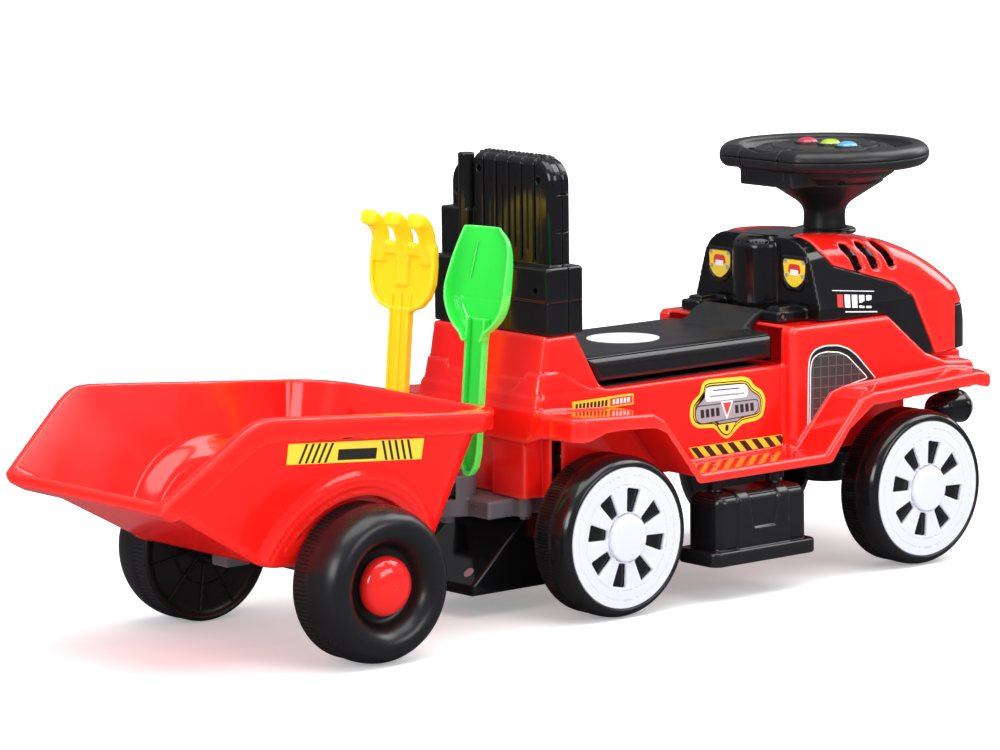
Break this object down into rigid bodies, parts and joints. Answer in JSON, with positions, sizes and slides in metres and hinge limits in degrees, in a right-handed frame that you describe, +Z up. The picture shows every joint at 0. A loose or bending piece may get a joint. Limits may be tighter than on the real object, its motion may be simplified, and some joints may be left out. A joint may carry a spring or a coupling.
{
  "type": "ride-on toy truck with trailer",
  "caption": "Foot-to-floor ride-on toy truck with steering wheel, lift-up seat over a storage tray, backrest, and a towed tub trailer carrying a sand rake and shovel.",
  "frame": {"origin": "on the ground, midway between the trailer lip and the nose of the bonnet, on the centre plane", "axes": "+X forward towards the bonnet, +Y to the rider's left, +Z up"},
  "size_m": [0.982, 0.32, 0.402],
  "materials": {
    "red_gloss": "glossy injection-moulded polypropylene",
    "black_gloss": "glossy moulded plastic",
    "black_satin": "satin moulded plastic",
    "seat_black": "leather-grained moulded top with glossy edges",
    "tyre_black": "glossy blow-moulded plastic wheel with fine tread ribs",
    "tyre_matt": "satin moulded plastic wheel",
    "cover_white": "semi-gloss white plastic",
    "grey_plastic": "satin grey plastic",
    "lens_clear": "clear moulded lens",
    "steel": "zinc-plated steel",
    "rubber_pad": "silicone rubber",
    "board_green": "laminate board",
    "battery_wrap": "wrapped cell",
    "button_red": "clear glossy dome",
    "button_green": "clear glossy dome",
    "button_blue": "clear glossy dome",
    "rake_yellow": "glossy translucent plastic",
    "shovel_green": "glossy translucent plastic"
  },
  "bodies": {
    "truck": {"body_shell": "red_gloss", "storage_tray": "black_satin", "seat_hinge_pin": "steel", "dash_console": "black_gloss", "hood": "red_gloss", "vent_lining": "black_gloss", "front_grille": "black_gloss", "headlamp_housings": "black_gloss", "headlamp_lenses": "lens_clear", "backrest_rear_shell": "black_gloss", "backrest_front_shell": "black_gloss", "backrest_screws": "steel", "step_box_left": "black_satin", "step_box_right": "black_satin", "anti_tip_foot": "black_gloss", "tow_bracket": "grey_plastic", "hitch_pin": "steel", "underside_screws": "steel", "rear_axle": "steel", "rear_axle_bushes": "grey_plastic", "rear_axle_retainers": "steel", "front_axle_beam": "black_satin", "kingpins": "steel", "steering_bushes": "grey_plastic"},
    "seat": {"seat_lid": "seat_black"},
    "steering": {"steering_shaft": "steel", "steering_column": "black_satin", "steering_wheel_bottom": "black_satin", "steering_wheel_top": "black_satin", "button_pad": "rubber_pad", "circuit_board": "board_green", "speaker": "steel", "battery_cover": "black_satin", "batteries": "battery_wrap", "steering_wheel_screws": "steel"},
    "red_button": {"button_red": "button_red"},
    "green_button": {"button_green": "button_green"},
    "blue_button": {"button_blue": "button_blue"},
    "left_knuckle": {"knuckle_left": "black_satin", "stub_axle_left": "steel"},
    "right_knuckle": {"knuckle_right": "black_satin", "stub_axle_right": "steel"},
    "track_rod": {"tie_rod": "black_satin"},
    "front_left": {"front_wheel_left": "tyre_black", "front_wheel_cover_left": "cover_white"},
    "front_right": {"front_wheel_right": "tyre_black", "front_wheel_cover_right": "cover_white"},
    "rear_left": {"rear_wheel_left": "tyre_black", "rear_wheel_cover_left": "cover_white"},
    "rear_right": {"rear_wheel_right": "tyre_black", "rear_wheel_cover_right": "cover_white"},
    "trailer": {"trailer_tub": "red_gloss", "trailer_drawbar": "black_satin", "trailer_screws": "steel", "trailer_axle": "steel", "trailer_axle_caps": "red_gloss"},
    "trailer_left": {"trailer_wheel_left": "tyre_matt"},
    "trailer_right": {"trailer_wheel_right": "tyre_matt"},
    "rake_tool": {"rake": "rake_yellow"},
    "shovel_tool": {"shovel": "shovel_green"}
  },
  "joints": [
    {"name": "steering_turn", "type": "hinge", "parent": "truck", "child": "steering", "pos_m": [0.357, 0, 0.371], "axis": [0, 0, 1], "range_deg": [-22, 22]},
    {"name": "left_knuckle_turn", "type": "hinge", "parent": "truck", "child": "left_knuckle", "pos_m": [0.359, 0.072, 0.072], "axis": [0, 0, 1], "range_deg": [-22, 22]},
    {"name": "right_knuckle_turn", "type": "hinge", "parent": "truck", "child": "right_knuckle", "pos_m": [0.359, -0.072, 0.072], "axis": [0, 0, 1], "range_deg": [-22, 22]},
    {"name": "track_rod_slide", "type": "slide", "parent": "truck", "child": "track_rod", "axis": [0, 1, 0], "range_m": [-0.01, 0.01]},
    {"name": "front_left_spin", "type": "hinge", "parent": "left_knuckle", "child": "front_left", "pos_m": [0.359, 0.115, 0.072], "axis": [0, 1, 0], "continuous": true},
    {"name": "front_right_spin", "type": "hinge", "parent": "right_knuckle", "child": "front_right", "pos_m": [0.359, -0.115, 0.072], "axis": [0, 1, 0], "continuous": true},
    {"name": "rear_left_spin", "type": "hinge", "parent": "truck", "child": "rear_left", "pos_m": [-0.009, 0.115, 0.072], "axis": [0, 1, 0], "continuous": true},
    {"name": "rear_right_spin", "type": "hinge", "parent": "truck", "child": "rear_right", "pos_m": [-0.009, -0.115, 0.072], "axis": [0, 1, 0], "continuous": true},
    {"name": "seat_lid_hinge", "type": "hinge", "parent": "truck", "child": "seat", "pos_m": [0.243, 0, 0.2362], "axis": [0, 1, 0], "range_deg": [0, 75]},
    {"name": "red_button_press", "type": "slide", "parent": "steering", "child": "red_button", "axis": [0, 0, -1], "range_m": [0, 0.002]},
    {"name": "green_button_press", "type": "slide", "parent": "steering", "child": "green_button", "axis": [0, 0, -1], "range_m": [0, 0.002]},
    {"name": "blue_button_press", "type": "slide", "parent": "steering", "child": "blue_button", "axis": [0, 0, -1], "range_m": [0, 0.002]},
    {"name": "trailer_yaw", "type": "hinge", "parent": "truck", "child": "trailer", "pos_m": [-0.101, 0, 0.111], "axis": [0, 0, 1], "range_deg": [-16, 16]},
    {"name": "trailer_left_spin", "type": "hinge", "parent": "trailer", "child": "trailer_left", "pos_m": [-0.287, 0.132, 0.0677], "axis": [0, 1, 0], "continuous": true},
    {"name": "trailer_right_spin", "type": "hinge", "parent": "trailer", "child": "trailer_right", "pos_m": [-0.287, -0.132, 0.0677], "axis": [0, 1, 0], "continuous": true},
    {"name": "rake_lift", "type": "slide", "parent": "trailer", "child": "rake_tool", "axis": [0.0872, 0, 0.9962], "range_m": [0, 0.2]},
    {"name": "shovel_lift", "type": "slide", "parent": "trailer", "child": "shovel_tool", "axis": [0.0872, 0, 0.9962], "range_m": [0, 0.2]}
  ],
  "couplings": [
    {"joint": "left_knuckle_turn", "follows": "steering_turn", "ratio": 1},
    {"joint": "right_knuckle_turn", "follows": "steering_turn", "ratio": 1},
    {"joint": "track_rod_slide", "follows": "steering_turn", "m_per_rad": 0.026}
  ]
}
